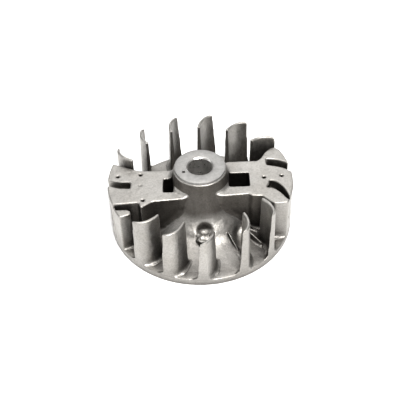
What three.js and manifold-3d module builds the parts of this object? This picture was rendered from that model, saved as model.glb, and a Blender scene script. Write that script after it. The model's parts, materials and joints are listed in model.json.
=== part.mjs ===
// Magneto fan flywheel of a small two-stroke engine, in millimetres, +Z up.
// The origin is the middle of the disc's flat underside, on the crankshaft axis.
// The aluminium casting is modelled as the named sections it is drawn from: disc, hub, two wings,
// eleven cooling vanes and the ribs on the floor. The steel parts and the magnet that are cast
// into the wings are solids of their own.
import * as THREE from 'three';
import { mergeVertices } from 'three/addons/utils/BufferGeometryUtils.js';
import Module from 'manifold-3d';

const wasm = await Module();
wasm.setup();

// ---- driving dimensions -------------------------------------------------------------------
const RIM_R = 50;            // outer radius of disc, wings and vanes
const FLOOR_Z = 4;           // top of the disc at the rim
const WING_Z = 29.5;         // top of both wings
const VANE_Z = 34.4;         // top of the cooling vanes
const HUB_Z = 38.1;          // machined seat for the crankshaft nut
const SEAT_R = 13.6;         // outer radius of that seat
const BORE_R = 6.7;          // bore at the nut end
const TAPER_R = 8;           // bore at the engine end
const CHAMFER = 0.6;         // chamfer at the mouth of the bore
const FLARE_Z = 12;          // level where the hub column meets its flare
const FLARE_EDGE_R = 38;     // outer edge of the flare
const GAP = 0.3;             // clearance between two sections that are cut to fit
const ROUND = 60;            // steps in a full turn

// Hub outline above the flare level, as [radius, height] from top to bottom
const COLUMN = [
  [SEAT_R, HUB_Z], [SEAT_R + 0.5, HUB_Z - 1], [14.9, 33], [16, WING_Z], [17.5, 24.5],
  [18.9, 20], [21, 16], [24.3, FLARE_Z],
];
const FLARE = [[24.3, FLARE_Z], [26.6, 9.2], [30, 6.8], [34, 5.4], [FLARE_EDGE_R, 4.7]];

const ALUMINIUM = { color: 0xb4b0aa, roughness: 0.6, metalness: 0.75 };
const LAMINATION = { color: 0x6f6b66, roughness: 0.5, metalness: 0.9 };
const MAGNET = { color: 0x2e2e30, roughness: 0.55, metalness: 0.3 };
const STEEL = { color: 0x9a9a98, roughness: 0.35, metalness: 1.0 };

const group = new THREE.Group();

// ---- small helpers ------------------------------------------------------------------------
const rad = THREE.MathUtils.degToRad;
const onRim = (degrees, radius = RIM_R) => [
  radius * Math.cos(rad(degrees)),
  radius * Math.sin(rad(degrees)),
];

function toSolid(geometry) {
  const bare = geometry.clone();
  bare.deleteAttribute('normal');
  bare.deleteAttribute('uv');
  const merged = mergeVertices(bare, 1e-4);
  return new wasm.Manifold(new wasm.Mesh({
    numProp: 3,
    vertProperties: new Float32Array(merged.attributes.position.array),
    triVerts: new Uint32Array(merged.index.array),
  }));
}

function toGeometry(solid) {
  const mesh = solid.getMesh();
  const geometry = new THREE.BufferGeometry();
  geometry.setAttribute('position', new THREE.BufferAttribute(new Float32Array(mesh.vertProperties), 3));
  geometry.setIndex(new THREE.BufferAttribute(new Uint32Array(mesh.triVerts), 1));
  geometry.computeVertexNormals();
  return geometry;
}

function addPiece(name, solid, look) {
  const mesh = new THREE.Mesh(toGeometry(solid), new THREE.MeshStandardMaterial(look));
  mesh.name = name;
  group.add(mesh);
}

// Solid of revolution about Z from a closed [radius, height] outline
function turned(outline) {
  const points = [...outline, outline[0]].map(([r, z]) => new THREE.Vector2(r, z));
  const geometry = new THREE.LatheGeometry(points, ROUND);
  geometry.rotateX(Math.PI / 2);
  const solid = toSolid(geometry);
  return solid.volume() < 0 ? toSolid(flipped(geometry)) : solid;
}

function flipped(geometry) {
  const copy = geometry.clone();
  const index = copy.index.array;
  for (let i = 0; i < index.length; i += 3) [index[i], index[i + 1]] = [index[i + 1], index[i]];
  return copy;
}

// Prism between two heights over a closed plan outline
function prism(outline, bottom, top) {
  const shape = new THREE.Shape(outline.map(([x, y]) => new THREE.Vector2(x, y)));
  const geometry = new THREE.ExtrudeGeometry(shape, { depth: top - bottom, bevelEnabled: false });
  geometry.translate(0, 0, bottom);
  return toSolid(geometry);
}

const block = (x0, x1, y0, y1, z0, z1) => prism([[x0, y0], [x1, y0], [x1, y1], [x0, y1]], z0, z1);

function pin([x, y], radius, bottom, top, sides = 16) {
  const geometry = new THREE.CylinderGeometry(radius, radius, top - bottom, sides);
  geometry.rotateX(Math.PI / 2);
  geometry.translate(x, y, (bottom + top) / 2);
  return toSolid(geometry);
}

// Plan points along the rim between two angles
function rimArc(from, to, radius = RIM_R, step = 6) {
  const steps = Math.max(1, Math.round(Math.abs(to - from) / step));
  return Array.from({ length: steps + 1 }, (_, i) => onRim(from + ((to - from) * i) / steps, radius));
}

// Smooth open line through a few plan points
function smooth(points, steps) {
  const curve = new THREE.CatmullRomCurve3(points.map(([x, y]) => new THREE.Vector3(x, y, 0)));
  return curve.getPoints(steps).map((p) => [p.x, p.y]);
}

// Closed solid through rings of equal length, one above the other
function loft(rings) {
  const count = rings[0].length;
  const cap = THREE.ShapeUtils.triangulateShape(rings[0].map(([x, y]) => new THREE.Vector2(x, y)), []);
  const last = (rings.length - 1) * count;
  const index = [];
  for (const [a, b, c] of cap) index.push(a, c, b, last + a, last + b, last + c);
  for (let k = 0; k < rings.length - 1; k++) {
    for (let i = 0; i < count; i++) {
      const a = k * count + i;
      const b = k * count + ((i + 1) % count);
      index.push(a, b, b + count, a, b + count, a + count);
    }
  }
  const geometry = new THREE.BufferGeometry();
  geometry.setAttribute('position', new THREE.Float32BufferAttribute(rings.flat(2), 3));
  geometry.setIndex(index);
  return toSolid(geometry);
}

// ---- disc and hub -------------------------------------------------------------------------
const RECESS = { inner: 18, outer: 44, depth: 1.5 };   // shallow ring under the disc

const bore = turned([[0, -1], [TAPER_R, -1], [TAPER_R, 0], [BORE_R, HUB_Z - 14],
  [BORE_R, HUB_Z - CHAMFER], [BORE_R + CHAMFER + 0.1, HUB_Z + 0.1], [0, HUB_Z + 0.1]]);

function discSection() {
  const { inner, outer, depth } = RECESS;
  const disc = turned([
    [0, 0], [inner, 0], [inner + depth, depth], [outer - depth, depth], [outer, 0],
    [RIM_R - 0.6, 0], [RIM_R, 0.6], [RIM_R, FLOOR_Z - 0.5], [RIM_R - 0.5, FLOOR_Z], [0, FLOOR_Z],
  ]);
  return disc.subtract(bore);
}

// Outline of the hub from the top down to the floor, grown outwards by the given margin
const hubOutline = (margin) => [...COLUMN, ...FLARE.slice(1)]
  .map(([r, z]) => [r + margin, z + margin * 0.5]);

function columnSection() {
  const seat = pin(onRim(SEAT_MARK.angle, SEAT_MARK.radius), SEAT_MARK.hole, HUB_Z - 2.5, HUB_Z + 1, 12);
  return turned([[0, FLARE_Z], [0, HUB_Z], ...COLUMN]).subtract(bore).subtract(windows).subtract(seat);
}

function flareSection() {
  return turned([[0, FLOOR_Z], [0, FLARE_Z], ...FLARE, [FLARE_EDGE_R, FLOOR_Z]])
    .subtract(bore).subtract(windows);
}

const SEAT_MARK = { angle: 207, radius: 9.7, hole: 0.95 };   // small dimple beside the bore

// Solid that trims whatever stands against the hub
const hubCutter = turned([
  [0, FLOOR_Z - 1], [0, HUB_Z + 2], [SEAT_R + GAP, HUB_Z + 2], ...hubOutline(GAP),
  [FLARE_EDGE_R + GAP, FLOOR_Z - 1],
]);

// ---- wings --------------------------------------------------------------------------------
const WINDOW_FLOOR = 8;
const MAGNET_WINDOW = { x0: -19.5, x1: -14.6, y0: -10, y1: 0 };
const WEIGHT_WINDOW = { x0: 15.4, x1: 26, y0: -7, y1: 3.3 };
const windowCut = ({ x0, x1, y0, y1 }) => block(x0, x1, y0, y1, WINDOW_FLOOR, HUB_Z - 3);
const windows = windowCut(MAGNET_WINDOW).add(windowCut(WEIGHT_WINDOW));

const MAGNET_WING = [
  ...rimArc(163.5, 201.8),
  [-32.6, -17.6], [-31.2, -21.5], [-25.4, -17.2], [-9, -15.7],
  [-4, -12], [-4, 7.2], [-26, 7.2], [-33, 7.5], [-39.2, 10.2],
];
const WEIGHT_WING = [
  [4, -12], [11, -14.3], [25.5, -13.2], [27, -14.6], [32.6, -14.9], [38, -21], ...rimArc(335.9, 386.2),
  [42, 24.5], [39.2, 23.4], [36, 19.6], [33.8, 15.4], [31.5, 13.2], [16, 13], [4, 10],
];

// Steel and magnet cast into the wings
const PACK = { bottom: 10, top: 23 };
const SHOE_BACK = { x0: -50, x1: -29, y0: -0.8, y1: 6 };
const SHOE_FRONT = { x0: -50, x1: -29, y0: -15, y1: -7.2 };
const MAGNET_BLOCK = { x0: -36.4, x1: -26.4, y0: -6.9, y1: -1.1 };
const WEIGHT_BLOCK = { x0: 31, x1: 50, y0: -4.4, y1: 4.6 };
const RIVET = { radius: 1.2, head: 2, headHeight: 0.7 };
const RIVETS = [[-45, 2.6], [-32.5, 2.6], [-44.5, -11.1], [-32.5, -11.1]];
const INSERT_FACE_R = RIM_R - 0.1;

const inserts = turned([[0, 0], [INSERT_FACE_R, 0], [INSERT_FACE_R, WING_Z], [0, WING_Z]]);
const insertBody = ({ x0, x1, y0, y1 }, grow = 0) => block(
  x0 - grow, x1 + grow, y0 - grow, y1 + grow, PACK.bottom - grow, PACK.top + grow);

const PIN_R = 1;
const MAGNET_PINS = [[-44.5, 3], [-32.3, 4], [-30.3, -16]];
const WEIGHT_PINS = [[34.3, -0.5], [43.8, 0.3]];
const DIMPLE_DEPTH = 0.8;

// Slot that is open to the rim between the two pole shoes
const SLOT = [[-37.5, -1.7], [-43, -1.5], [-47.5, -0.4], [-52, 0.8], [-52, -3.4], [-48, -4.4],
  [-43, -6.1], [-37.4, -6.6]];
const SLOT_FLOOR = 24.5;
// Two swept pockets that are open to the rim beside the counterweight
const POCKET_BACK = [[36.5, 9.4], ...smooth([[41, 8.3], [45, 7], [49, 4.2], [53, 1.6]], 5),
  ...smooth([[53, 8], [49, 10], [45, 12.6], [40, 14.3], [36.4, 14.4]], 5)];
const POCKET_FRONT = [...smooth([[37, -3], [39.4, -3.4], [42.6, -6.2], [44.9, -11], [46.6, -18]], 7),
  ...smooth([[45.6, -18], [43.6, -14.6], [41, -11], [37.8, -8.8], [34.6, -8.6]], 5), [36.6, -6]];
const POCKET_FLOOR = 14;

function pins(places, bottom) {
  return places.map((place) => pin(place, PIN_R, bottom, WING_Z + 1, 12)).reduce((a, b) => a.add(b));
}

function magnetWing() {
  const pack = insertBody(SHOE_BACK, GAP).add(insertBody(SHOE_FRONT, GAP)).add(insertBody(MAGNET_BLOCK, GAP));
  const heads = RIVETS.map((place) => pin(place, RIVET.head + GAP, PACK.bottom - 1.2, PACK.top + 1.2, 12))
    .reduce((a, b) => a.add(b));
  return prism(MAGNET_WING, FLOOR_Z, WING_Z)
    .subtract(prism(SLOT, SLOT_FLOOR, WING_Z + 1))
    .subtract(pins(MAGNET_PINS, PACK.top - 0.5))
    .subtract(pins([[-32.2, -4.6]], WING_Z - DIMPLE_DEPTH))
    .subtract(pack)
    .subtract(heads);
}

function weightWing() {
  return prism(WEIGHT_WING, FLOOR_Z, WING_Z)
    .subtract(prism(POCKET_BACK, POCKET_FLOOR, WING_Z + 1))
    .subtract(prism(POCKET_FRONT, POCKET_FLOOR, WING_Z + 1))
    .subtract(pins(WEIGHT_PINS, PACK.top - 0.5))
    .subtract(insertBody(WEIGHT_BLOCK, GAP));
}

// Each wing is an outer block and two arms that pass its window on their way to the hub
function addWing(name, solid, window, side) {
  const trimmed = solid.subtract(hubCutter);
  const edge = side > 0 ? window.x1 : window.x0;
  const far = side * 60;
  const outer = block(Math.min(edge, far), Math.max(edge, far), -40, 40, 0, 40);
  const inner = block(Math.min(edge, 0), Math.max(edge, 0), -40, 40, 0, 40);
  const middle = (window.y0 + window.y1) / 2;
  addPiece(name, trimmed.intersect(outer), ALUMINIUM);
  const arms = trimmed.intersect(inner).subtract(windows);
  addPiece(`${name}_arm_back`, arms.intersect(block(-60, 60, middle, 40, 0, 40)), ALUMINIUM);
  addPiece(`${name}_arm_front`, arms.intersect(block(-60, 60, -40, middle, 0, 40)), ALUMINIUM);
}

function addInserts() {
  const holes = RIVETS.map((place) => pin(place, RIVET.radius + GAP / 2, 0, 40, 12)).reduce((a, b) => a.add(b));
  addPiece('pole_shoe_back', insertBody(SHOE_BACK).intersect(inserts).subtract(holes), LAMINATION);
  addPiece('pole_shoe_front', insertBody(SHOE_FRONT).intersect(inserts).subtract(holes), LAMINATION);
  addPiece('magnet', insertBody(MAGNET_BLOCK), MAGNET);
  addPiece('counterweight', insertBody(WEIGHT_BLOCK).intersect(inserts), STEEL);
  RIVETS.forEach((place, i) => {
    const shank = pin(place, RIVET.radius, PACK.bottom - 0.1, PACK.top + 0.1, 12);
    const low = pin(place, RIVET.head, PACK.bottom - 0.05 - RIVET.headHeight, PACK.bottom - 0.05, 12);
    const high = pin(place, RIVET.head, PACK.top + 0.05, PACK.top + 0.05 + RIVET.headHeight, 12);
    addPiece(`pole_rivet_${i + 1}`, shank.add(low).add(high), STEEL);
  });
}

// ---- cooling vanes ------------------------------------------------------------------------
const VANE_TIPS = [31.3, 56, 80.3, 104.2, 128.9, 153.4, 225.8, 247, 268.8, 294, 315.4];
const VANE = { root: 3, top: 1.7, crown: 0.9, steps: 9, overrun: 6 };
// Middle line of a vane whose rim end lies on the X axis, from its inner end out past the rim
const VANE_LINE = new THREE.CubicBezierCurve(
  new THREE.Vector2(37.6, 6.5), new THREE.Vector2(43.2, 6.9),
  new THREE.Vector2(48.6, 5.4), new THREE.Vector2(50.9, -1.4));

// One side of the vane, ended exactly on the rim
function vaneSide(offset) {
  const side = VANE_LINE.getPoints(VANE.steps).map((point, i) => {
    const along = VANE_LINE.getTangent(i / VANE.steps);
    return [point.x - along.y * offset, point.y + along.x * offset];
  });
  const [ex, ey] = side.at(-1);
  const end = VANE_LINE.getTangent(1);
  side.push([ex + end.x * VANE.overrun, ey + end.y * VANE.overrun]);
  const outside = side.findIndex(([x, y]) => Math.hypot(x, y) > RIM_R);
  const inside = side.slice(0, outside);
  const [ax, ay] = inside.at(-1);
  const [bx, by] = side[outside];
  const t = (RIM_R - Math.hypot(ax, ay)) / (Math.hypot(bx, by) - Math.hypot(ax, ay));
  inside.push([ax + (bx - ax) * t, ay + (by - ay) * t]);
  return resampled(inside, VANE.steps);
}

// The same line with a fixed number of equal steps, so that rings match
function resampled(line, steps) {
  const curve = new THREE.CatmullRomCurve3(line.map(([x, y]) => new THREE.Vector3(x, y, 0)));
  return curve.getSpacedPoints(steps).map((p) => [p.x, p.y]);
}

// dip lowers the ring towards the vane's inner end
function vaneRing(thickness, z, tip, dip = 0) {
  const ring = [...vaneSide(-thickness / 2), ...vaneSide(thickness / 2).reverse()];
  const cos = Math.cos(rad(tip));
  const sin = Math.sin(rad(tip));
  const inner = VANE_LINE.getPoint(0).x;
  const fall = (x) => dip * Math.max(0, (LOW_VANE.dipFrom - x) / (LOW_VANE.dipFrom - inner));
  return ring.map(([x, y]) => [x * cos - y * sin, x * sin + y * cos, z - fall(x)]);
}

// One vane is lower than the rest, and its top falls towards its inner end
const LOW_VANE = { tip: 268.8, top: 31, dip: 3.2, dipFrom: 43.5 };

function vane(tip) {
  const low = tip === LOW_VANE.tip;
  const top = low ? LOW_VANE.top : VANE_Z;
  const dip = low ? LOW_VANE.dip : 0;
  return loft([
    vaneRing(VANE.root, FLOOR_Z, tip),
    vaneRing(VANE.top, top - 0.5, tip, dip),
    vaneRing(VANE.crown, top, tip, dip),
  ]);
}

// ---- shoulder beside the magnet wing, ribs and gate boss on the floor -----------------------
const SHOULDER_Z = 28;
const SHOULDER = [
  ...rimArc(202.3, 212.4, RIM_R, 3), [-36.4, -24.5], [-36.6, -22.4], [-38.4, -21.2], [-44.6, -21.1],
  [-45, -18.4 - GAP],
];

// Low ribs, each from and to an [angle, radius], falling from its top height to its low height
const RIB_WIDTH = 1.6;
const RIBS = [
  { from: [301.6, 26.5], to: [301.6, 36.4], top: 11.5, low: 5.8 },
  { from: [319.6, 31], to: [319.6, 42], top: 11, low: 6.4 },
  { from: [328.6, 30], to: [331, 35], top: 9.5, low: 5.2 },
];

function rib({ from, to, top, low }) {
  const start = new THREE.Vector2(...onRim(...from));
  const end = new THREE.Vector2(...onRim(...to));
  const across = end.clone().sub(start).normalize().rotateAround(new THREE.Vector2(), Math.PI / 2);
  const half = across.multiplyScalar(RIB_WIDTH / 2);
  const foot = FLOOR_Z;
  const ring = (point, height) => [
    [point.x - half.x, point.y - half.y, foot], [point.x + half.x, point.y + half.y, foot],
    [point.x + half.x * 0.4, point.y + half.y * 0.4, height],
    [point.x - half.x * 0.4, point.y - half.y * 0.4, height],
  ];
  return loftEnds(ring(start, top), ring(end, low));
}

// Solid between two four-sided ends
function loftEnds(from, to) {
  const geometry = new THREE.BufferGeometry();
  geometry.setAttribute('position', new THREE.Float32BufferAttribute([...from, ...to].flat(), 3));
  const index = [0, 2, 1, 0, 3, 2, 4, 5, 6, 4, 6, 7];
  for (let i = 0; i < 4; i++) {
    const j = (i + 1) % 4;
    index.push(i, j, j + 4, i, j + 4, i + 4);
  }
  geometry.setIndex(index);
  const solid = toSolid(geometry);
  return solid.volume() < 0 ? toSolid(flipped(geometry)) : solid;
}

const BOSS = { place: [0.6, -26.4], radius: 3, top: 11 };

// ---- assembly -----------------------------------------------------------------------------
addPiece('base_disc', discSection(), ALUMINIUM);
addPiece('hub_column', columnSection(), ALUMINIUM);
addPiece('hub_flare', flareSection(), ALUMINIUM);
addWing('magnet_wing', magnetWing(), MAGNET_WINDOW, -1);
addWing('weight_wing', weightWing(), WEIGHT_WINDOW, 1);
addInserts();
VANE_TIPS.forEach((tip, i) => {
  addPiece(`vane_${String(i + 1).padStart(2, '0')}`, vane(tip).subtract(hubCutter), ALUMINIUM);
});
addPiece('shoulder_vane', prism(SHOULDER, FLOOR_Z, SHOULDER_Z), ALUMINIUM);
RIBS.forEach((line, i) => addPiece(`floor_rib_${i + 1}`, rib(line).subtract(hubCutter), ALUMINIUM));
addPiece('gate_boss', pin(BOSS.place, BOSS.radius, FLOOR_Z, BOSS.top, 16).subtract(hubCutter), ALUMINIUM);

export default group;
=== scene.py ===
"""Looks of the magneto fan flywheel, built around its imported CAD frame.

The disc, the hub and the turned seat follow outlines, and the hub and each wing stand for several
CAD nodes. The other sections start from their CAD solid as a level set, get cast fillets where they
meet the disc and the hub, and replace that CAD node. The inserts keep their CAD mesh.
Lengths are in millimetres until a mesh is made. Lights, camera and materials are in metres.
"""
import json
import math

import bpy
import numpy as np
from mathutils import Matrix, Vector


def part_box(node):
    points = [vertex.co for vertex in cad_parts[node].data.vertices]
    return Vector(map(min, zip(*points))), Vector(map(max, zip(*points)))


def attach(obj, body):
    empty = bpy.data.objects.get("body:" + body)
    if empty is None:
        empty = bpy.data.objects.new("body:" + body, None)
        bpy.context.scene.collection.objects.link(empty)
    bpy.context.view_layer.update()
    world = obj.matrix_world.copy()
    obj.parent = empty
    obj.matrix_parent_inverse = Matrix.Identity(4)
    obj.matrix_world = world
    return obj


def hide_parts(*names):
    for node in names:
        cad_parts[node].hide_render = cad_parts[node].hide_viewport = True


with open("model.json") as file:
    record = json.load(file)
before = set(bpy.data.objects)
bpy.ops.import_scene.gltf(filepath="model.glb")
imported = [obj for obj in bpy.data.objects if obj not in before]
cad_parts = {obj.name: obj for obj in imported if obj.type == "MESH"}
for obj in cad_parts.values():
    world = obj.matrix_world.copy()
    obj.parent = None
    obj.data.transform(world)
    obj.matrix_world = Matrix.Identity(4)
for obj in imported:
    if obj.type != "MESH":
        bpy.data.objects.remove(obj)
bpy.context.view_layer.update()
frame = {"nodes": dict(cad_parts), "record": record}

import openvdb as vdb
from mathutils import Matrix, Vector

MM = 0.001
BODY = "root"


# ---- sizes from the frame --------------------------------------------------------------------
def low(node):
    return np.array(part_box(node)[0]) / MM


def high(node):
    return np.array(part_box(node)[1]) / MM


RIM_R = high("base_disc")[0]
FLOOR_Z = high("base_disc")[2]
WING_Z = high("magnet_wing")[2]
HUB_Z = high("hub_column")[2]
VANES = [name for name in sorted(frame["nodes"]) if name.startswith("vane_")]
RIBS = [name for name in sorted(frame["nodes"]) if name.startswith("floor_rib_")]

# Hub outline from the nut seat down to the floor, as [radius, height]
SEAT_R = 13.6
HUB_FOOT_R = 46.0
HUB_PROFILE = [
    [SEAT_R + 0.5, HUB_Z - 1.0], [14.9, 33.0], [16.0, WING_Z], [17.5, 24.5], [18.9, 20.0],
    [21.0, 16.0], [24.3, 12.0], [26.6, 9.2], [30.0, 6.8], [34.0, 5.4], [39.0, 4.5],
    [HUB_FOOT_R, 3.9],
]
HOLLOWS = [                # centre and half sizes of shallow dents in the front of the flare
    [(1.8, -24.2, 13.6), (4.4, 3.4, 3.6)],
    [(20.4, -25.0, 8.6), (3.4, 7.0, 3.6)],
]

# Turned seat and bore
BORE_R = 6.7               # straight part, at the nut end
TAPER_R = 8.0              # wide end of the taper, at the engine end
STRAIGHT_BORE = 14.0       # length of the straight part
CHAMFER = 0.6              # at the mouth of the bore
RING_DROP = 1.3            # height of the machined rim of the nut seat
CORE_R = 9.0               # hole left in the cast hub for the turned core
SEAT_HOLE = {"angle": 207, "radius": 9.7, "hole": 0.95, "depth": 2.5}
RECESS = {"inner": 18.0, "outer": 44.0, "depth": 1.5}
DISC_BORE_R = TAPER_R + 0.06

# Casting detail
VOXEL = 0.42
HUB_VOXEL = 0.52
BOSS_VOXEL = 0.3
BAND = 9.0                 # level-set half width in voxels
CLOSE = 0.18               # closes the cut clearance between neighbouring CAD sections
SINK = 0.9                 # how deep a section's foot reaches into what it stands on
TUCK = 0.04                # how far the end of a fillet dips under its neighbour's surface
FILLET = {"hub": 1.5, "hollow": 1.6, "window": 0.8, "edge": 0.5, "wing": 2.4, "vane": 2.2,
          "shoulder": 1.8, "rib": 1.2, "boss": 1.0}


# ---- level sets ------------------------------------------------------------------------------
def level_set(points, faces, voxel=VOXEL):
    """Signed distance grid of a closed mesh of triangles or quads, in millimetres."""
    kind = "quads" if faces.shape[1] == 4 else "triangles"
    return vdb.FloatGrid.createLevelSetFromPolygons(
        points.astype(np.float32), transform=vdb.createLinearTransform(voxelSize=voxel),
        halfWidth=BAND, **{kind: faces.astype(np.uint32)})


class Block:
    """A box of voxels around a piece, in which distances are plain arrays."""

    def __init__(self, lowest, highest, margin=3.0, voxel=VOXEL):
        self.voxel = voxel
        self.first = np.floor((np.array(lowest) - margin) / voxel).astype(int)
        last = np.ceil((np.array(highest) + margin) / voxel).astype(int)
        self.shape = tuple(last - self.first + 1)
        axes = [(np.arange(n) + i) * voxel for n, i in zip(self.shape, self.first)]
        self.x, self.y, self.z = np.meshgrid(*axes, indexing="ij", sparse=True)
        self.r = np.sqrt(self.x**2 + self.y**2)

    def corner(self):
        return tuple(int(i) for i in self.first)

    def of(self, grid):
        values = np.full(self.shape, grid.background, np.float32)
        grid.copyToArray(values, ijk=self.corner())
        return values

    def surface(self, distance, level=0.0):
        grid = vdb.FloatGrid(float(self.voxel * BAND))
        grid.transform = vdb.createLinearTransform(voxelSize=self.voxel)
        grid.copyFromArray(np.ascontiguousarray(distance, np.float32), ijk=self.corner())
        return grid.convertToQuads(isovalue=level)

    def closed(self, distance):
        """The same solid with slits narrower than twice CLOSE filled."""
        points, quads = self.surface(distance, CLOSE)
        return self.of(level_set(points, quads, self.voxel)) + CLOSE


def join(a, b, fillet):
    """Smooth union with a fillet of about that size."""
    blend = np.maximum(fillet - np.abs(a - b), 0) / fillet
    return np.minimum(a, b) - blend * blend * fillet * 0.25


def trim(a, b, fillet):
    """Smooth intersection."""
    return -join(-a, -b, fillet)


def softened(distance, passes=1):
    """Rounds edges by averaging each value with its six neighbours."""
    for _ in range(passes):
        total = distance * 2.0
        for axis in range(3):
            total += np.roll(distance, 1, axis) + np.roll(distance, -1, axis)
        distance = total / 8.0
    return distance


def cad_solid(node):
    """Points and triangles of a CAD node in millimetres."""
    mesh = frame["nodes"][node].data
    mesh.calc_loop_triangles()
    points = np.array([v.co[:] for v in mesh.vertices]) / MM
    faces = np.array([t.vertices[:] for t in mesh.loop_triangles])
    return points, faces


def cad_distance(block, nodes):
    return np.minimum.reduce([block.of(level_set(*cad_solid(n), block.voxel)) for n in nodes])


def lathe(profile, steps=180):
    """Points and quads of a solid of revolution from a closed [radius, height] outline."""
    profile = np.array(profile, float)
    profile[:, 0] = np.maximum(profile[:, 0], 1e-4)
    angles = np.arange(steps) * 2 * math.pi / steps
    points = np.stack([
        np.outer(np.cos(angles), profile[:, 0]), np.outer(np.sin(angles), profile[:, 0]),
        np.tile(profile[:, 1], (steps, 1))], axis=-1).reshape(-1, 3)
    count = len(profile)
    i, j = np.meshgrid(np.arange(steps), np.arange(count), indexing="ij")
    i2, j2 = (i + 1) % steps, (j + 1) % count
    quads = np.stack([i * count + j, i2 * count + j, i2 * count + j2, i * count + j2], -1)
    return points, quads.reshape(-1, 4)


def smooth_profile(points, steps=6):
    """Catmull-Rom line through [radius, height] points."""
    p = np.array([points[0], *points, points[-1]], float)
    out = []
    for a, b, c, d in zip(p, p[1:], p[2:], p[3:]):
        for t in np.arange(steps) / steps:
            out.append(0.5 * (2 * b + (c - a) * t + (2 * a - 5 * b + 4 * c - d) * t**2
                              + (3 * b - a - 3 * c + d) * t**3))
    out.append(p[-1])
    return np.array(out)


# ---- meshes ----------------------------------------------------------------------------------
LATTICE = np.random.default_rng(41).random((32, 32, 32)).astype(np.float32)


def lattice_noise(points, wavelength):
    """Smooth noise from -1 to 1 at points in millimetres."""
    place = points / wavelength + 100.0
    cell = np.floor(place).astype(int)
    part = place - cell
    part = part * part * (3 - 2 * part)
    total = 0
    for corner in np.ndindex(2, 2, 2):
        weight = np.prod(np.where(corner, part, 1 - part), axis=-1)
        i, j, k = ((cell + corner) % 32).T
        total = total + weight * LATTICE[i, j, k]
    return total * 2 - 1


def waviness(points):
    """Slight unevenness of a cast surface, in millimetres."""
    return 0.09 * lattice_noise(points, 5.0) + 0.05 * lattice_noise(points, 1.8)


def vertex_normals(points, quads):
    a, b, c, d = (points[quads[:, i]] for i in range(4))
    across = np.cross(c - a, d - b)
    total = np.zeros_like(points)
    for i in range(4):
        np.add.at(total, quads[:, i], across)
    return total / np.maximum(np.linalg.norm(total, axis=1, keepdims=True), 1e-9)


def add_object(name, points, faces, materials, replaced):
    mesh = bpy.data.meshes.new(name)
    mesh.from_pydata((np.array(points) * MM).tolist(), [], np.array(faces).tolist())
    mesh.update()
    for material in materials:
        mesh.materials.append(material)
    mesh.polygons.foreach_set("use_smooth", [True] * len(mesh.polygons))
    obj = bpy.data.objects.new(name, mesh)
    bpy.context.scene.collection.objects.link(obj)
    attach(obj, BODY)
    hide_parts(*replaced)
    return obj


def face_outwards(points, quads):
    """Turns the quads round if they face into the solid."""
    a, b, c, d = (points[quads[:, i]] for i in range(4))
    volume = (np.einsum("ij,ij->i", a, np.cross(b, c)).sum()
              + np.einsum("ij,ij->i", a, np.cross(c, d)).sum())
    return quads if volume > 0 else quads[:, ::-1]


def cast_piece(name, block, distance, replaced, unevenness=1.0):
    points, quads = block.surface(distance)
    quads = face_outwards(points, quads)
    points = points + vertex_normals(points, quads) * waviness(points)[:, None] * unevenness
    return add_object(name, points, quads, [MATERIALS["cast_aluminium"]], replaced)


# ---- shared ground: what the sections stand on -------------------------------------------------
def hub_points():
    wall = smooth_profile(HUB_PROFILE)
    seat = [[0, HUB_Z], [SEAT_R + 0.3, HUB_Z]]
    return lathe([[0, FLOOR_Z - SINK], *seat, *wall.tolist(), [HUB_FOOT_R, FLOOR_Z - SINK]])


HUB_GRID = level_set(*hub_points())


def ground(block):
    """Distance to the disc's floor or the hub, whichever is nearer, with their own fillet."""
    return join(block.of(HUB_GRID), (block.z - FLOOR_Z) + 0 * block.r, FILLET["hub"])


def standing(block, solid, fillet, reach=None):
    """A solid with a cast fillet along its foot, limited to its own neighbourhood."""
    base = ground(block)
    reach = reach or fillet
    joined = join(solid, base + TUCK, fillet)
    piece = np.maximum(joined, -(base + SINK))
    piece = np.maximum(piece, solid - reach)
    return trim(piece, block.r - RIM_R, FILLET["edge"])


# ---- sections of the casting ---------------------------------------------------------------------
def window_boxes():
    """The two windows beside the hub, a little larger than their openings and open at the top."""
    grow = 0.3
    above = 10.0
    for opening in frame["record"]["physics"]["openings"]:
        if opening["name"].endswith("window"):
            lowest, highest = np.array(opening["box_m"]) / MM
            yield lowest - grow, highest + [grow, grow, above]


def box_distance(block, lowest, highest):
    across = [np.maximum(lo - axis, axis - hi)
              for axis, lo, hi in zip((block.x, block.y, block.z), lowest, highest)]
    return np.maximum(np.maximum(across[0], across[1]), across[2])


def without_windows(block, distance):
    for lowest, highest in window_boxes():
        distance = trim(distance, -box_distance(block, lowest, highest), FILLET["window"])
    return distance


def hollow(block, centre, radii):
    """Rough distance to an egg-shaped hollow."""
    x, y, z = ((axis - c) / r for axis, c, r in zip((block.x, block.y, block.z), centre, radii))
    return (np.sqrt(x * x + y * y + z * z) - 1) * min(radii)


def make_hub():
    reach = HUB_FOOT_R + 1
    block = Block([-reach, -reach, FLOOR_Z - SINK], [reach, reach, HUB_Z], 1.5, HUB_VOXEL)
    hub = without_windows(block, block.of(level_set(*hub_points(), HUB_VOXEL)))
    for centre, radii in HOLLOWS:
        hub = trim(hub, -hollow(block, centre, radii), FILLET["hollow"])
    hub = trim(hub, block.z - (HUB_Z - RING_DROP), FILLET["edge"])
    hub = np.maximum(hub, CORE_R - block.r)
    return cast_piece("hub_casting", block, hub, ["hub_column", "hub_flare"], unevenness=0.6)


def apply_modifiers(obj):
    bpy.context.view_layer.update()
    evaluated = obj.evaluated_get(bpy.context.evaluated_depsgraph_get())
    mesh = bpy.data.meshes.new_from_object(evaluated)
    obj.modifiers.clear()
    obj.data = mesh
    mesh.set_sharp_from_angle(angle=math.radians(30))


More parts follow.
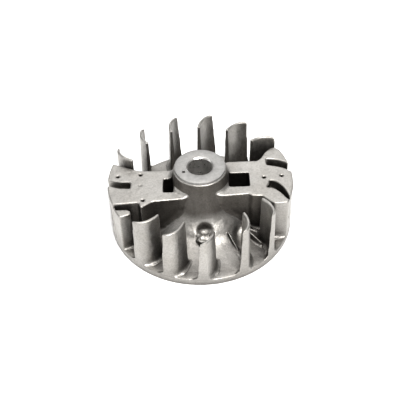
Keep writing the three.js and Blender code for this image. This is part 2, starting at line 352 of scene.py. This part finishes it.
def core_outline():
    """Closed outline of the turned core, from the foot of the taper up and down the outside."""
    foot = 0.3
    edge = 0.3
    shoulder = HUB_Z - RING_DROP
    outer = CORE_R + 0.8
    bore = [[TAPER_R - 0.05, foot], [BORE_R, HUB_Z - STRAIGHT_BORE], [BORE_R, HUB_Z - CHAMFER - 0.1]]
    mouth = [[BORE_R + 0.12, HUB_Z - CHAMFER], [BORE_R + CHAMFER - 0.1, HUB_Z - 0.1],
             [BORE_R + CHAMFER + 0.1, HUB_Z]]
    rim = [[SEAT_R - edge, HUB_Z], [SEAT_R - 0.08, HUB_Z - 0.1], [SEAT_R, HUB_Z - edge],
           [SEAT_R, shoulder], [SEAT_R - 0.3, shoulder - 0.25]]
    return [*bore, *mouth, *rim, [outer, shoulder - 0.4], [outer, foot]]


def make_drill():
    """A loose cutter for the small blind hole in the nut seat."""
    radius, depth = SEAT_HOLE["hole"], SEAT_HOLE["depth"]
    points, quads = lathe([[0, -depth], [radius, 0.3 - depth], [radius, 1.0], [0, 1.0]], 32)
    angle = math.radians(SEAT_HOLE["angle"])
    across = np.array([math.cos(angle), math.sin(angle), 0]) * SEAT_HOLE["radius"]
    points = points + across + [0, 0, HUB_Z]
    mesh = bpy.data.meshes.new("drill")
    mesh.from_pydata((points * MM).tolist(), [], face_outwards(points, quads).tolist())
    drill = bpy.data.objects.new("drill", mesh)
    bpy.context.scene.collection.objects.link(drill)
    return drill


def make_machined_core():
    """Nut seat, chamfer and tapered bore, in the middle of the cast hub."""
    points, quads = lathe(core_outline(), 256)
    core = add_object("hub_machined_seat", points, face_outwards(points, quads),
                      [MATERIALS["machined_aluminium"]], ["hub_column"])
    drill = make_drill()
    cut = core.modifiers.new("cut", "BOOLEAN")
    cut.object = drill
    cut.solver = "EXACT"
    apply_modifiers(core)
    bpy.data.objects.remove(drill)
    # The bore's walls get the lighter copy of the turned metal, which is painted light.
    core.data.materials.append(MATERIALS["bore_painted_light"])
    for face in core.data.polygons:
        inside = face.center.xy.length < (BORE_R + CHAMFER + 0.2) * MM
        face.material_index = 1 if inside and abs(face.normal.z) < 0.9 else 0
    return core


def make_wing(name, nodes):
    lowest = np.minimum.reduce([low(n) for n in nodes])
    highest = np.maximum.reduce([high(n) for n in nodes])
    block = Block(lowest, highest)
    solid = softened(block.closed(cad_distance(block, nodes)), 2)
    piece = without_windows(block, standing(block, solid, FILLET["wing"]))
    return cast_piece(name, block, piece, nodes)


def make_section(node, fillet, passes=1):
    """A vane or rib grown from its CAD solid, with its edges rounded by that many passes."""
    block = Block(low(node), high(node))
    solid = softened(cad_distance(block, [node]), passes)
    return cast_piece(node + "_casting", block, standing(block, solid, fillet), [node])


def make_gate_boss():
    """Rough lump where the metal ran in: swollen by 1.3 mm, then eaten away by two sizes of noise."""
    swell = 1.3
    block = Block(low("gate_boss") - 2, high("gate_boss") + 1, 3.0, BOSS_VOXEL)
    solid = softened(cad_distance(block, ["gate_boss"]))
    x, y, z = np.broadcast_arrays(block.x, block.y, block.z)
    places = np.stack([x, y, z], axis=-1).reshape(-1, 3)
    facets = np.abs(lattice_noise(places, 2.4)) * 1.5 + lattice_noise(places, 6.0) * 0.7
    solid = solid + facets.reshape(solid.shape) - swell
    piece = standing(block, solid, FILLET["boss"], 2.5)
    return cast_piece("gate_boss_casting", block, piece, ["gate_boss"])


def make_disc():
    inner, outer, depth = RECESS["inner"], RECESS["outer"], RECESS["depth"]
    edge = 0.5
    corner = 0.15
    rim = [[RIM_R - edge, 0.0], [RIM_R - corner, corner], [RIM_R, edge], [RIM_R, FLOOR_Z - edge],
           [RIM_R - corner, FLOOR_Z - corner], [RIM_R - edge, FLOOR_Z]]
    top = [[radius, FLOOR_Z] for radius in np.linspace(RIM_R - 3, DISC_BORE_R, 24)]
    under = [[DISC_BORE_R, 0.0], [inner, 0.0], [inner + depth, depth],
             [outer - depth, depth], [outer, 0.0]]
    points, quads = lathe([*rim, *top, *under], 240)
    return add_object("base_disc_casting", points, face_outwards(points, quads),
                      [MATERIALS["cast_aluminium"]], ["base_disc"])


# ---- materials -----------------------------------------------------------------------------------
PAINTED_SHADE_REACH = (0.034, 0.041)    # metres from the axis, where the painted shade on steep walls begins and ends to fade
STEEPNESS = (0.30, 0.55)       # share of the normal along Z, where a wall begins and ends to count


class Nodes:
    """Short ways to add and wire shader nodes."""

    def __init__(self, name):
        self.material = bpy.data.materials.new(name)
        self.material.use_nodes = True
        self.tree = self.material.node_tree
        self.shader = next(n for n in self.tree.nodes if n.type == "BSDF_PRINCIPLED")

    def add(self, kind, **values):
        node = self.tree.nodes.new(kind)
        for key, value in values.items():
            if key in node.inputs:
                node.inputs[key].default_value = value
            else:
                setattr(node, key, value)
        return node

    def wire(self, source, target):
        self.tree.links.new(source, target)

    def place(self):
        return self.add("ShaderNodeTexCoord").outputs["Object"]

    def noise(self, scale, detail=4.0, roughness=0.55):
        node = self.add("ShaderNodeTexNoise", Scale=scale, Detail=detail, Roughness=roughness)
        self.wire(self.place(), node.inputs["Vector"])
        return node.outputs["Fac"]

    def ramp(self, source, stops):
        node = self.add("ShaderNodeValToRGB")
        ramp = node.color_ramp
        while len(ramp.elements) < len(stops):
            ramp.elements.new(0.5)
        for element, (position, colour) in zip(ramp.elements, stops):
            red_green_blue = colour if len(colour) == 3 else colour * 3
            element.position = position
            element.color = (*red_green_blue, 1)
        self.wire(source, node.inputs["Fac"])
        return node.outputs["Color"]

    def feed(self, sockets, values):
        """Wires a value that is another node's output, and sets one that is a number or colour."""
        for socket, value in zip(sockets, values):
            if hasattr(value, "is_output"):
                self.wire(value, socket)
            else:
                socket.default_value = value

    def blend(self, factor, a, b, kind="MIX"):
        """Mixes two colours, which are sockets 6 and 7 of a Mix node and come out of socket 2."""
        node = self.add("ShaderNodeMix", data_type="RGBA", blend_type=kind)
        self.feed((node.inputs[0], node.inputs[6], node.inputs[7]), (factor, a, b))
        return node.outputs[2]

    def multiply(self, a, b):
        return self.blend(1.0, a, b, "MULTIPLY")

    def fade(self, source, start, end):
        """1 where the source is at start, 0 from end on."""
        node = self.add("ShaderNodeMapRange", interpolation_type="SMOOTHSTEP")
        for index, value in enumerate((start, end, 1.0, 0.0), 1):
            node.inputs[index].default_value = value
        self.wire(source, node.inputs[0])
        return node.outputs[0]

    def maths(self, operation, a, b=0.0):
        node = self.add("ShaderNodeMath", operation=operation)
        self.feed(node.inputs, (a, b))
        return node.outputs[0]

    def steep_inner_walls(self):
        """1 on steep walls round the hub, where shade is painted into the colour, and 0 on tops, slopes
        and the rim.
        """
        across = self.add("ShaderNodeVectorMath", operation="MULTIPLY")
        self.wire(self.place(), across.inputs[0])
        across.inputs[1].default_value = (1, 1, 0)
        length = self.add("ShaderNodeVectorMath", operation="LENGTH")
        self.wire(across.outputs[0], length.inputs[0])
        inner = self.fade(length.outputs["Value"], *PAINTED_SHADE_REACH)
        facing = self.add("ShaderNodeSeparateXYZ")
        self.wire(self.add("ShaderNodeNewGeometry").outputs["Normal"], facing.inputs[0])
        steep = self.fade(self.maths("ABSOLUTE", facing.outputs["Z"]), *STEEPNESS)
        return self.maths("MULTIPLY", inner, steep)

    def bump(self, height, strength, distance, after=None):
        node = self.add("ShaderNodeBump", Strength=strength, Distance=distance)
        self.wire(height, node.inputs["Height"])
        if after:
            self.wire(after, node.inputs["Normal"])
        return node.outputs["Normal"]


def cast_aluminium():
    m = Nodes("cast_aluminium")
    m.shader.inputs["Metallic"].default_value = 0.95
    mottle = m.ramp(m.noise(75, 6, 0.6), [(0.32, (0.285, 0.272, 0.252)), (0.68, (0.40, 0.388, 0.368))])
    stains = m.ramp(m.noise(38, 3), [(0.42, (1.0,)), (0.75, (0.80,))])
    grain = m.ramp(m.noise(1100, 4), [(0.34, (0.75,)), (0.60, (1.0,))])
    # Painted shade: the ambient occlusion node darkens the base colour in recesses and corners, down to
    # about a fifth in the deepest.
    cavity = m.add("ShaderNodeAmbientOcclusion", Distance=0.022)
    cavity.samples = 8
    painted_recess_shade = m.ramp(cavity.outputs["AO"], [(0.32, (0.20, 0.19, 0.18)), (0.82, (1.0, 1.0, 1.0))])
    colour = m.blend(0.8, m.multiply(mottle, stains), grain, "MULTIPLY")
    # Painted shade: steep walls near the hub are darkened to about a third of their colour, as if in
    # shadow.
    painted_wall_shade = m.blend(m.steep_inner_walls(), (1, 1, 1, 1), (0.36, 0.345, 0.33, 1))
    m.wire(m.multiply(m.multiply(colour, painted_recess_shade), painted_wall_shade), m.shader.inputs["Base Color"])
    rough = m.ramp(m.noise(300, 4), [(0.3, (0.37,)), (0.7, (0.52,))])
    m.wire(rough, m.shader.inputs["Roughness"])
    coarse = m.bump(m.noise(260, 5), 0.45, 0.0006)
    fine = m.bump(m.noise(1700, 4), 0.35, 0.00025, coarse)
    m.wire(fine, m.shader.inputs["Normal"])
    return m.material


def turned_metal(name, dark, light, rough, metallic):
    """Turned metal: fine rings round the axis over a lightly worn surface."""
    m = Nodes(name)
    m.shader.inputs["Metallic"].default_value = metallic
    wear = m.ramp(m.noise(420, 5, 0.65), [(0.3, dark), (0.7, light)])
    m.wire(wear, m.shader.inputs["Base Color"])
    roughness = m.ramp(m.noise(700, 4), [(0.3, (rough,)), (0.7, (rough + 0.16,))])
    m.wire(roughness, m.shader.inputs["Roughness"])
    rings = m.add("ShaderNodeTexWave", wave_type="RINGS", rings_direction="Z",
                  Scale=900.0, Distortion=1.5, Detail=2.0)
    m.wire(m.place(), rings.inputs["Vector"])
    turned = m.bump(rings.outputs["Fac"], 0.12, 0.0001)
    m.wire(m.bump(m.noise(900, 4), 0.25, 0.0002, turned), m.shader.inputs["Normal"])
    return m.material


def plain_metal(name, colour, roughness, metallic):
    scale = 400
    m = Nodes(name)
    m.shader.inputs["Metallic"].default_value = metallic
    dark = tuple(c * 0.7 for c in colour)
    shade = m.ramp(m.noise(scale, 4), [(0.3, dark), (0.7, colour)])
    m.wire(shade, m.shader.inputs["Base Color"])
    rough = m.ramp(m.noise(scale * 1.7, 3), [(0.3, (roughness - 0.08,)), (0.7, (roughness + 0.1,))])
    m.wire(rough, m.shader.inputs["Roughness"])
    m.wire(m.bump(m.noise(scale * 3, 3), 0.2, 0.0003), m.shader.inputs["Normal"])
    return m.material


def floor_material():
    m = Nodes("studio_floor")
    m.shader.inputs["Base Color"].default_value = (0.93, 0.93, 0.93, 1)
    m.shader.inputs["Roughness"].default_value = 0.9
    return m.material


def laminated_steel():
    """A stack of thin sheets seen on edge, with dark gaps between them."""
    m = Nodes("laminated_steel")
    m.shader.inputs["Metallic"].default_value = 0.9
    sheets = m.add("ShaderNodeTexWave", wave_type="BANDS", bands_direction="Z",
                   Scale=500.0, Distortion=0.0)
    m.wire(m.place(), sheets.inputs["Vector"])
    gaps = m.ramp(sheets.outputs["Fac"], [(0.08, (0.25,)), (0.30, (1.0,))])
    steel = m.ramp(m.noise(350, 5), [(0.3, (0.20, 0.185, 0.17)), (0.7, (0.34, 0.33, 0.32))])
    m.wire(m.multiply(steel, gaps), m.shader.inputs["Base Color"])
    roughness = m.ramp(m.noise(600, 3), [(0.3, (0.36,)), (0.7, (0.54,))])
    m.wire(roughness, m.shader.inputs["Roughness"])
    m.wire(m.bump(sheets.outputs["Fac"], 0.6, 0.0002), m.shader.inputs["Normal"])
    return m.material


MATERIALS = {
    "cast_aluminium": cast_aluminium(),
    "machined_aluminium": turned_metal(
        "machined_aluminium", (0.23, 0.225, 0.218), (0.32, 0.315, 0.305), 0.42, 0.9),
    # Painted light: the bore's copy of the turned metal is about twice as light as the seat's, to show
    # the bore lit. Its lower roughness is real.
    "bore_painted_light": turned_metal(
        "bore_painted_light", (0.48, 0.47, 0.455), (0.60, 0.59, 0.57), 0.24, 0.95),
    "laminated_steel": laminated_steel(),
    "magnet": plain_metal("magnet", (0.09, 0.09, 0.10), 0.6, 0.3),
    "steel": plain_metal("steel", (0.45, 0.44, 0.42), 0.4, 0.95),
}


# ---- inserts ---------------------------------------------------------------------------------------
def dress_inserts():
    looks = {"pole_shoe_back": "laminated_steel", "pole_shoe_front": "laminated_steel",
             "magnet": "magnet", "counterweight": "steel"}
    looks.update({n: "steel" for n in frame["nodes"] if n.startswith("pole_rivet_")})
    for node, look in looks.items():
        mesh = frame["nodes"][node].data
        mesh.materials.clear()
        mesh.materials.append(MATERIALS[look])


# ---- studio ----------------------------------------------------------------------------------------
CAMERA = {"elevation": 42.92, "distance": 0.4092, "target_z": 0.020, "lens": 67.4,
          "roll": 1.67, "shift": (-0.0014, -0.0225)}
WHITE = (1.0, 1.0, 1.0)
WARM_WHITE = (1.0, 0.99, 0.975)
LIGHTS = [                 # name, place, height that it points at, size, power, colour
    ("top", (-0.05, 0.12, 0.65), 0.01, 0.35, 1.8, WARM_WHITE),
    ("key", (0.12, -0.36, 0.54), 0.01, 0.28, 8.5, WARM_WHITE),
    ("back", (0.05, 0.60, 0.56), 0.01, 0.70, 3.0, WHITE),
    ("left", (-0.60, -0.10, 0.30), 0.02, 0.35, 1.2, WHITE),
]
WORLD_STRENGTH = 0.26
FLOOR_HALF_SIDE = 3.0
FLOOR_DROP = 0.0001        # keeps the floor from lying level with the underside


def studio_camera():
    data = bpy.data.cameras.new("camera")
    data.lens = CAMERA["lens"]
    data.sensor_width = 36.0
    data.shift_x, data.shift_y = CAMERA["shift"]
    data.clip_start = 0.01
    camera = bpy.data.objects.new("camera", data)
    bpy.context.scene.collection.objects.link(camera)
    tilt = math.radians(CAMERA["elevation"])
    distance = CAMERA["distance"]
    camera.location = (0, -distance * math.cos(tilt), CAMERA["target_z"] + distance * math.sin(tilt))
    view = Vector((0, math.cos(tilt), -math.sin(tilt))).to_track_quat("-Z", "Y").to_matrix()
    roll = Matrix.Rotation(math.radians(-CAMERA["roll"]), 3, "Z")
    camera.rotation_euler = (view @ roll).to_euler()
    bpy.context.scene.camera = camera


def area_light(name, place, aim_height, size, power, colour):
    data = bpy.data.lights.new(name, "AREA")
    data.size = size
    data.energy = power
    data.color = colour
    light = bpy.data.objects.new(name, data)
    light.location = place
    aim = Vector((0, 0, aim_height)) - Vector(place)
    light.rotation_euler = aim.to_track_quat("-Z", "Y").to_euler()
    bpy.context.scene.collection.objects.link(light)


def studio_floor():
    side = FLOOR_HALF_SIDE
    corners = [(-side, -side, 0), (side, -side, 0), (side, side, 0), (-side, side, 0)]
    mesh = bpy.data.meshes.new("floor")
    mesh.from_pydata(corners, [], [(0, 1, 2, 3)])
    mesh.materials.append(floor_material())
    floor = bpy.data.objects.new("floor", mesh)
    floor.location.z = -FLOOR_DROP
    bpy.context.scene.collection.objects.link(floor)


def studio():
    world = bpy.data.worlds.new("studio")
    world.use_nodes = True
    backdrop = next(n for n in world.node_tree.nodes if n.type == "BACKGROUND")
    backdrop.inputs["Color"].default_value = (*WHITE, 1)
    backdrop.inputs["Strength"].default_value = WORLD_STRENGTH
    bpy.context.scene.world = world
    for light in LIGHTS:
        area_light(*light)
    studio_floor()
    bpy.context.scene.view_settings.view_transform = "Standard"


# ---- build -------------------------------------------------------------------------------------------
studio_camera()
make_disc()
make_hub()
make_machined_core()
make_wing("magnet_wing_casting", ["magnet_wing", "magnet_wing_arm_back", "magnet_wing_arm_front"])
make_wing("weight_wing_casting", ["weight_wing", "weight_wing_arm_back", "weight_wing_arm_front"])
for vane in VANES:
    make_section(vane, FILLET["vane"], passes=2)
make_section("shoulder_vane", FILLET["shoulder"])
for rib in RIBS:
    make_section(rib, FILLET["rib"])
make_gate_boss()
dress_inserts()
studio()
